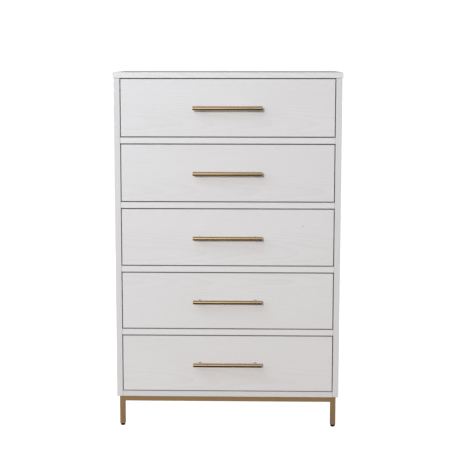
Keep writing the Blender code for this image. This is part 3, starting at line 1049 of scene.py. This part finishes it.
boltShape = {
    "headHeight": 0.0035,
    "headRadius": 0.0055,
    "socketSize": 0.0023,
    "socketDepth": 0.0021,
    "threadPitch": 0.0010,
    "threadCrest": 0.0030,
    "threadCore": 0.0025,
    "plainLength": 0.004,
}


def makeBoltMesh():
    low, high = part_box("base_bolt_front_left")
    style = boltShape
    radius, rise, crest = style["headRadius"], style["headHeight"], style["threadCrest"]
    length = high.z - low.z - rise
    crown = []
    for step in range(7):
        angle = math.radians(90 - 90 * step / 6)
        crown.append((radius * (0.62 + 0.38 * math.cos(angle)), -rise * (0.28 + 0.72 * math.sin(angle))))
    profile = [(0, -rise)] + crown + [(radius, -0.0002), (radius - 0.0002, 0), (crest + 0.0002, 0)]
    profile += [(crest - 0.0001, 0.0003), (crest - 0.0001, style["plainLength"])]
    profile += threadedProfile(style["plainLength"] + 0.0005, length - 0.0006, crest, style["threadPitch"])
    profile += [(style["threadCore"] - 0.0003, length), (0, length)]
    threads = threadRadius(style["threadCore"], crest, style["threadPitch"])

    def shapeAt(reach, height, angle):
        if height > style["plainLength"] and abs(reach - crest) < 1e-6:
            return threads(reach, height, angle)
        return reach

    shank = turnMesh("bolt shank", profile, 36, shapeAt)
    size, depth = style["socketSize"], style["socketDepth"]
    socket = turnMesh("bolt socket", [(0, -0.02), (size, -0.02), (size, depth), (0, depth + 0.0006)], 6)
    return combine("button head bolt", shank, [(socket, Matrix.Translation((0, 0, -rise)))])


boltMesh = makeBoltMesh()
for corner in corners:
    name = "base_bolt_" + corner
    low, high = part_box(name)
    spin = anyTurn(math.tau)
    place = ((low.x + high.x) / 2, (low.y + high.y) / 2, low.z + boltShape["headHeight"])
    bolt = addPiece("button_bolt_" + corner, boltMesh, place, zincSteel, "carcass", spin)
    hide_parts(name)
print("Glides and bolts turned")


runnerShape = {
    "ease": 0.0008,
    "noseLength": 0.010,
    "noseDrop": 0.0016,
    "screwHead": 0.0036,
    "screwShank": 0.0021,
    "screwSink": 0.0022,
    "screwLength": 0.0085,
    "screwPlay": 0.0002,  # between a screw and its hole
    "screwPlaces": (0.06, 0.5, 0.94),  # along the runner
}


def makeRunnerMesh(name, size, side):
    # a strip with eased edges and a lead-in nose, countersunk from its inner face
    style = runnerShape
    shape = startBox(size)
    nose = -size[1] / 2 + style["noseLength"]
    everything = [*shape.verts, *shape.edges, *shape.faces]
    bmesh.ops.bisect_plane(shape, geom=everything, plane_co=(0, nose, 0), plane_no=(0, 1, 0))
    for vert in shape.verts:
        if vert.co.y < nose - 1e-5:
            vert.co.z -= math.copysign(style["noseDrop"], vert.co.z)
            if vert.co.x * side < 0:
                vert.co.x += side * style["noseDrop"]
    easeEdges(shape, style["ease"])
    strip = finishMesh(name, shape)
    head = style["screwHead"] + style["screwPlay"]
    shank = style["screwShank"] + style["screwPlay"]
    sink = style["screwSink"]
    profile = [(0, -0.02), (shank, -0.02), (shank, -sink), (head, 0), (head, 0.005), (0, 0.005)]
    hole = turnMesh("countersink", profile, 32)
    facing = Matrix.Rotation(-side * math.pi / 2, 4, "Y")
    holes = []
    for share in style["screwPlaces"]:
        place = Matrix.Translation((-side * size[0] / 2, (share - 0.5) * size[1], 0))
        holes.append((hole, place @ facing))
    return combine(name, strip, holes)


def makeFlatScrew(name):
    # a countersunk head, its flat face at height 0, on a short shank
    style = runnerShape
    head, shank = style["screwHead"], style["screwShank"]
    sink, length = style["screwSink"], style["screwLength"]
    profile = [(0, -length), (shank * 0.5, -length), (shank, 0.0007 - length), (shank, -sink)]
    profile += [(head, -0.0003), (head - 0.0001, 0), (0, 0)]
    body = turnMesh(name + " body", profile, 32)
    cross = crossMesh(head * 1.15, head * 0.27, sink * 0.55)
    return combine(name, body, [(cross, Matrix.Identity(4))])


flatScrewMesh = makeFlatScrew("countersunk screw")
low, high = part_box("runner_1_left")
runnerSize = high - low
runnerMeshes = {side: makeRunnerMesh("runner " + label, runnerSize, side) for label, side in bothSides}
for number in range(1, drawerCount + 1):
    for label, side in bothSides:
        name = f"runner_{number}_{label}"
        low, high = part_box(name)
        centre = (low + high) / 2
        runner = addPiece(f"waxed_{name}", runnerMeshes[side], centre, waxedWood, "carcass")
        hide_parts(name)
        facing = Matrix.Rotation(-side * math.pi / 2, 3, "Y")
        innerX = low.x if side > 0 else high.x
        for index, share in enumerate(runnerShape["screwPlaces"], 1):
            y = low.y + share * (high.y - low.y)
            spin = anyTurn(math.pi)
            place = (innerX + side * 0.0001, y, centre.z)
            addPiece(f"{name}_screw_{index}", flatScrewMesh, place, zincSteel, "carcass", facing @ spin)
print("Runners screwed on")


stopShape = {
    "size": (0.034, 0.013, 0.0070),
    "ease": 0.0010,
    "fromMiddle": 0.24,
    "behindFront": 0.0004,
    "gap": 0.0001,  # above the board it stands on
}


def makeStopMesh():
    shape = startBox(stopShape["size"])
    easeEdges(shape, stopShape["ease"])
    return finishMesh("drawer stop", shape)


stopMesh = makeStopMesh()
floorOf = {number: f"drawer_rail_{number}" for number in range(1, drawerCount)}
floorOf[drawerCount] = "bottom_panel"
for number in range(1, drawerCount + 1):
    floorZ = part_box(floorOf[number])[1].z
    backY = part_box(f"drawer_{number}_front")[1].y + stopShape["behindFront"]
    for label, side in bothSides:
        depth, rise = stopShape["size"][1:]
        centreZ = floorZ + rise / 2 + stopShape["gap"]
        place = (side * stopShape["fromMiddle"], backY + depth / 2, centreZ)
        addPiece(f"drawer_{number}_stop_{label}", stopMesh, place, stopWood, "carcass")
print("Stops fitted")


backScrews = {
    "headRadius": 0.0030,
    "headHeight": 0.0010,
    "gap": 0.00005,
    "fromEdge": 0.0045,
    "fromFoot": 0.0095,
    "sideCount": 8,
    "sideMargin": 0.03,
    "bottomCount": 5,
    "bottomMargin": 0.1,
}


def spread(low, high, margin, count):
    # evenly spaced places between two ends, each end kept clear by the margin
    return [low + margin + (high - low - 2 * margin) * index / (count - 1) for index in range(count)]


lowScrewMesh = makePanScrew("low head screw", backScrews["headRadius"], backScrews["headHeight"])
low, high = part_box("back_panel")
inset = backScrews["fromEdge"]
spots = []
for z in spread(low.z, high.z, backScrews["sideMargin"], backScrews["sideCount"]):
    spots += [(low.x + inset, z), (high.x - inset, z)]
for x in spread(low.x, high.x, backScrews["bottomMargin"], backScrews["bottomCount"]):
    spots.append((x, low.z + backScrews["fromFoot"]))
for index, (x, z) in enumerate(spots, 1):
    spin = anyTurn(math.pi)
    place = (x, high.y + backScrews["gap"], z)
    addPiece(f"back_panel_screw_{index}", lowScrewMesh, place, zincSteel, "carcass", towardsBack @ spin)
print("Back screwed on")


studio = {
    "floorSize": 60,
    "floorGlow": 0.96,
    "floorShadow": 0.30,
    "floorBounce": (0.34, 0.270, 0.19),
    "mirroredShadeNear": (0.050, 0.040, 0.028),  # painted reflection: the floor glows for polished metal alone, and is dark near the chest as painted shade
    "mirroredFar": (0.95, 0.91, 0.86),
    "mirroredReach": (-1.3, -4.2),  # from near to far
    "mirroredLightAcross": (0.45, 1.30),  # painted light: strength of that glow at the right and at the left
    "skyLow": (0.115, 0.097, 0.082),
    "skyHigh": (0.19, 0.19, 0.205),
    "skySeen": (1.05, 1.05, 1.05),
    "cardFront": (1.26, 1.25, 1.22),  # what polished metal picks up in front, just above the floor
    "cardAround": (0.30, 0.29, 0.28),
    "cardAcross": (0.70, 1.18),
    "sunStrength": 1.67,
    "sunSize": 4.6,  # degrees across
    "sunHeight": 13.2,
    "sunLeft": 9.5,
    "sunColor": (1.03, 0.998, 0.983),
    "fillPower": 29.5,
    "fillSize": 2.4,
    "fillPlace": (-1.3, -2.0, 2.15),
    "fillColor": (0.885, 0.995, 1.09),
    "backPower": 70,
    "backSize": 2.4,
    "backPlaces": {"behind left": (-2.6, 2.6, 1.1), "behind right": (2.8, 2.2, 1.0)},
    "aim": (0, 0, 0.65),
}


def makeFloor():
    shape = bmesh.new()
    bmesh.ops.create_grid(shape, x_segments=1, y_segments=1, size=studio["floorSize"] / 2)
    mesh = finishMesh("floor", shape)
    floor = linkObject("floor", mesh)
    material, tree, shader = newMaterial("pale floor")
    tree.nodes.remove(shader)
    output = tree.nodes["Material Output"]
    level = studio["floorShadow"]
    shade = feedNode(tree, "BsdfDiffuse", [(level, level, level, 1)])[0]
    glow = feedNode(tree, "Emission", [(1, 1, 1, 1), studio["floorGlow"]])[0]
    seen = feedNode(tree, "AddShader", [shade, glow])[0]
    path = addNode(tree, "LightPath").outputs
    bounce = feedNode(tree, "BsdfDiffuse", [(*studio["floorBounce"], 1)])[0]
    # painted reflection: for polished metal the floor glows, dark near the chest as painted shade and
    # brighter at the left as painted light
    spot = axesOf(tree, addNode(tree, "NewGeometry").outputs["Position"])
    far = remap(tree, spot["Y"], *studio["mirroredReach"])
    color = mixColors(tree, far, studio["mirroredShadeNear"], studio["mirroredFar"])
    strength = remap(tree, spot["X"], 0.5, -0.5, *studio["mirroredLightAcross"])
    mirrored = feedNode(tree, "Emission", [color, strength])[0]
    unseen = feedNode(tree, "MixShader", [path["Is Glossy Ray"], bounce, mirrored])[0]
    surface = feedNode(tree, "MixShader", [path["Is Camera Ray"], unseen, seen])[0]
    tree.links.new(surface, output.inputs["Surface"])
    mesh.materials.append(material)


def makeSky():
    world = bpy.data.worlds.new("studio")
    bpy.context.scene.world = world
    world.use_nodes = True
    world.cycles.sampling_method = "NONE"  # an even sky needs no aimed samples
    tree = world.node_tree
    background = tree.nodes["Background"]
    direction = axesOf(tree, addNode(tree, "TexCoord").outputs["Generated"])
    rise = remap(tree, direction["Z"], -0.3, 0.9)
    sky = mixColors(tree, rise, studio["skyLow"], studio["skyHigh"])
    path = addNode(tree, "LightPath").outputs
    ahead = remap(tree, calc(tree, "MULTIPLY", direction["Y"], -1.0), 0.2, 0.7)
    low = remap(tree, direction["Z"], 0.72, 0.30)
    leftward = remap(tree, direction["X"], 0.20, -0.26, *studio["cardAcross"])
    card = calc(tree, "MULTIPLY", calc(tree, "MULTIPLY", ahead, low), leftward)
    mirrored = mixColors(tree, card, studio["cardAround"], studio["cardFront"])
    sky = mixColors(tree, path["Is Glossy Ray"], sky, mirrored)
    sky = mixColors(tree, path["Is Camera Ray"], sky, studio["skySeen"])
    feed(tree, background.inputs["Color"], sky)


def addLamp(name, kind, place, aim, power, size, color=(1, 1, 1)):
    data = bpy.data.lights.new(name, kind)
    data.energy = power
    data.color = color
    if kind == "SUN":
        data.angle = math.radians(size)
    else:
        data.size = size
    lamp = linkObject(name, data)
    lamp.location = place
    lamp.rotation_euler = (Vector(aim) - Vector(place)).to_track_quat("-Z", "Y").to_euler()
    lamp.visible_glossy = False  # polished metal picks up the sky and the floor alone


makeFloor()
makeSky()
height, left = math.radians(studio["sunHeight"]), math.radians(studio["sunLeft"])
level = math.cos(height)
sunPlace = Vector((-math.sin(left) * level, -math.cos(left) * level, math.sin(height))) * 6
addLamp("key", "SUN", sunPlace, (0, 0, 0), studio["sunStrength"], studio["sunSize"], studio["sunColor"])
fillPower, fillSize = studio["fillPower"], studio["fillSize"]
addLamp("fill", "AREA", studio["fillPlace"], studio["aim"], fillPower, fillSize, studio["fillColor"])
for name, place in studio["backPlaces"].items():
    addLamp(name, "AREA", place, studio["aim"], studio["backPower"], studio["backSize"])
print("Studio lit")
